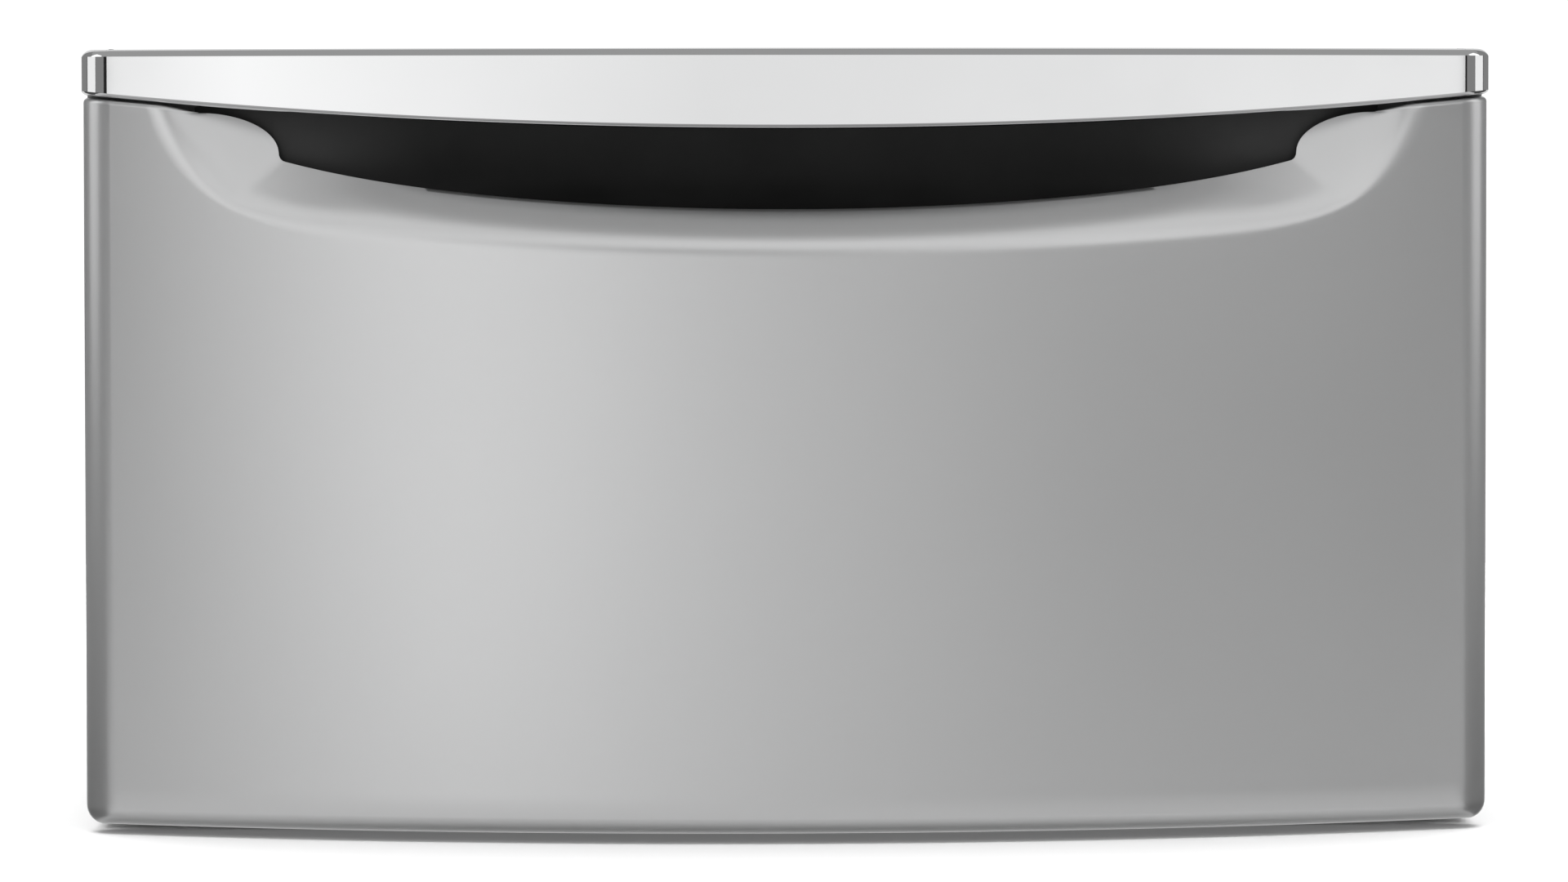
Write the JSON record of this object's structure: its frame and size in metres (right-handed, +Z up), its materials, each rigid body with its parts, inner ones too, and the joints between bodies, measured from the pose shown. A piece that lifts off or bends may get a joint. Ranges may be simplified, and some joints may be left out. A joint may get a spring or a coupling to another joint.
{
  "type": "laundry pedestal",
  "caption": "Low steel cabinet that raises a front-load washer, with a full-width storage drawer behind a bowed front, a bright curved handle trim over a finger scoop, and screw feet.",
  "frame": {"origin": "on the floor, under the middle of the pedestal's bounding box", "axes": "+Z up, +X to the right seen from the front, +Y to the back, so the drawer opens towards -Y"},
  "size_m": [0.6858, 0.69, 0.381],
  "materials": {
    "front_paint": "metallic grey, satin gloss",
    "cabinet_paint": "metallic grey, satin",
    "box_paint": "light grey, satin",
    "bright_trim": "polished",
    "black_plastic": "fine grain",
    "black_rubber": "matte",
    "slide_steel": "bright zinc",
    "zinc_steel": "dull zinc"
  },
  "bodies": {
    "cabinet": {"side_panel_left": "cabinet_paint", "side_panel_right": "cabinet_paint", "rear_panel": "cabinet_paint", "top_deck": "cabinet_paint", "front_top_rail": "cabinet_paint", "front_bottom_rail": "cabinet_paint", "rear_bottom_rail": "cabinet_paint", "deck_brace_front": "zinc_steel", "deck_brace_rear": "zinc_steel", "slide_bracket_left": "zinc_steel", "slide_bracket_right": "zinc_steel", "slide_outer_left": "slide_steel", "slide_outer_right": "slide_steel", "foot_bracket_front_left": "zinc_steel", "foot_bracket_front_right": "zinc_steel", "foot_bracket_rear_left": "zinc_steel", "foot_bracket_rear_right": "zinc_steel", "lock_nut_front_left": "zinc_steel", "lock_nut_front_right": "zinc_steel", "lock_nut_rear_left": "zinc_steel", "lock_nut_rear_right": "zinc_steel", "drawer_bumper_upper_left": "black_rubber", "drawer_bumper_upper_right": "black_rubber", "drawer_bumper_lower_left": "black_rubber", "drawer_bumper_lower_right": "black_rubber"},
    "drawer": {"drawer_front_skin": "front_paint", "drawer_front_inner": "box_paint", "handle_trim": "bright_trim", "finger_cup": "black_plastic", "drawer_floor": "box_paint", "drawer_back": "box_paint", "drawer_divider": "box_paint", "drawer_side_left": "box_paint", "drawer_side_right": "box_paint", "handle_bracket_left": "zinc_steel", "handle_bracket_right": "zinc_steel", "slide_inner_left": "slide_steel", "slide_inner_right": "slide_steel"},
    "slide_middle_left": {"slide_middle_left": "slide_steel"},
    "ball_cage_outer_left": {"ball_cage_outer_left": "slide_steel"},
    "ball_cage_inner_left": {"ball_cage_inner_left": "slide_steel"},
    "slide_middle_right": {"slide_middle_right": "slide_steel"},
    "ball_cage_outer_right": {"ball_cage_outer_right": "slide_steel"},
    "ball_cage_inner_right": {"ball_cage_inner_right": "slide_steel"},
    "release_lever_left": {"release_lever_left": "black_plastic"},
    "release_lever_right": {"release_lever_right": "black_plastic"},
    "foot_front_left": {"foot_stud_front_left": "zinc_steel", "foot_pad_front_left": "black_rubber"},
    "foot_front_right": {"foot_stud_front_right": "zinc_steel", "foot_pad_front_right": "black_rubber"},
    "foot_rear_left": {"foot_stud_rear_left": "zinc_steel", "foot_pad_rear_left": "black_rubber"},
    "foot_rear_right": {"foot_stud_rear_right": "zinc_steel", "foot_pad_rear_right": "black_rubber"}
  },
  "joints": [
    {"name": "drawer_slide", "type": "slide", "parent": "cabinet", "child": "drawer", "axis": [0, -1, 0], "range_m": [0, 0.5]},
    {"name": "slide_middle_left_travel", "type": "slide", "parent": "cabinet", "child": "slide_middle_left", "axis": [0, -1, 0], "range_m": [0, 0.25]},
    {"name": "ball_cage_outer_left_travel", "type": "slide", "parent": "cabinet", "child": "ball_cage_outer_left", "axis": [0, -1, 0], "range_m": [0, 0.125]},
    {"name": "ball_cage_inner_left_travel", "type": "slide", "parent": "cabinet", "child": "ball_cage_inner_left", "axis": [0, -1, 0], "range_m": [0, 0.375]},
    {"name": "slide_middle_right_travel", "type": "slide", "parent": "cabinet", "child": "slide_middle_right", "axis": [0, -1, 0], "range_m": [0, 0.25]},
    {"name": "ball_cage_outer_right_travel", "type": "slide", "parent": "cabinet", "child": "ball_cage_outer_right", "axis": [0, -1, 0], "range_m": [0, 0.125]},
    {"name": "ball_cage_inner_right_travel", "type": "slide", "parent": "cabinet", "child": "ball_cage_inner_right", "axis": [0, -1, 0], "range_m": [0, 0.375]},
    {"name": "release_lever_left_press", "type": "hinge", "parent": "drawer", "child": "release_lever_left", "pos_m": [-0.3113, -0.205, 0.142], "axis": [1, 0, 0], "range_deg": [0, 8], "stiffness_Nm_per_rad": 0.05},
    {"name": "release_lever_right_press", "type": "hinge", "parent": "drawer", "child": "release_lever_right", "pos_m": [0.3113, -0.205, 0.142], "axis": [-1, 0, 0], "range_deg": [0, 8], "stiffness_Nm_per_rad": 0.05},
    {"name": "foot_front_left_height", "type": "slide", "parent": "cabinet", "child": "foot_front_left", "axis": [0, 0, -1], "range_m": [0, 0.02]},
    {"name": "foot_front_right_height", "type": "slide", "parent": "cabinet", "child": "foot_front_right", "axis": [0, 0, -1], "range_m": [0, 0.02]},
    {"name": "foot_rear_left_height", "type": "slide", "parent": "cabinet", "child": "foot_rear_left", "axis": [0, 0, -1], "range_m": [0, 0.02]},
    {"name": "foot_rear_right_height", "type": "slide", "parent": "cabinet", "child": "foot_rear_right", "axis": [0, 0, -1], "range_m": [0, 0.02]}
  ],
  "couplings": [
    {"joint": "slide_middle_left_travel", "follows": "drawer_slide", "ratio": 0.5},
    {"joint": "ball_cage_outer_left_travel", "follows": "drawer_slide", "ratio": 0.25},
    {"joint": "ball_cage_inner_left_travel", "follows": "drawer_slide", "ratio": 0.75},
    {"joint": "slide_middle_right_travel", "follows": "drawer_slide", "ratio": 0.5},
    {"joint": "ball_cage_outer_right_travel", "follows": "drawer_slide", "ratio": 0.25},
    {"joint": "ball_cage_inner_right_travel", "follows": "drawer_slide", "ratio": 0.75}
  ]
}
